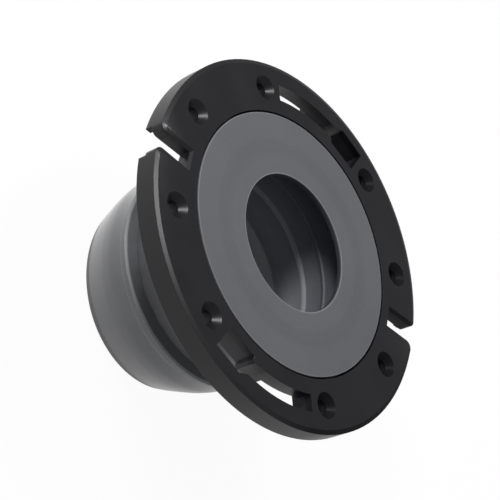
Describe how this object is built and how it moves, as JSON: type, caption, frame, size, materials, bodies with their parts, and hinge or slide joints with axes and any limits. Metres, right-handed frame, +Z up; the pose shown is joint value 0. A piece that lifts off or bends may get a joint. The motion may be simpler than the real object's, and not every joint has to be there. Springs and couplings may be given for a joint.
{
  "type": "flexible closet flange",
  "caption": "Round bolt-down ring with slots and countersunk holes, carrying a soft hollow neck whose band seals inside a waste pipe.",
  "frame": {"origin": "centre of the tail's rim, on the surface the part stands on", "axes": "+Z up along the pipe axis and out of the front face; +X along the two open slots"},
  "size_m": [0.1772, 0.178, 0.0925],
  "materials": {
    "ring_plastic": "moulded black plastic, satin face and glossier edges",
    "soft_body": "soft grey moulded rubber-like plastic, matte face and semi-gloss neck"
  },
  "bodies": {
    "root": {"flange_ring": "ring_plastic", "flexible_body": "soft_body"}
  },
  "joints": []
}
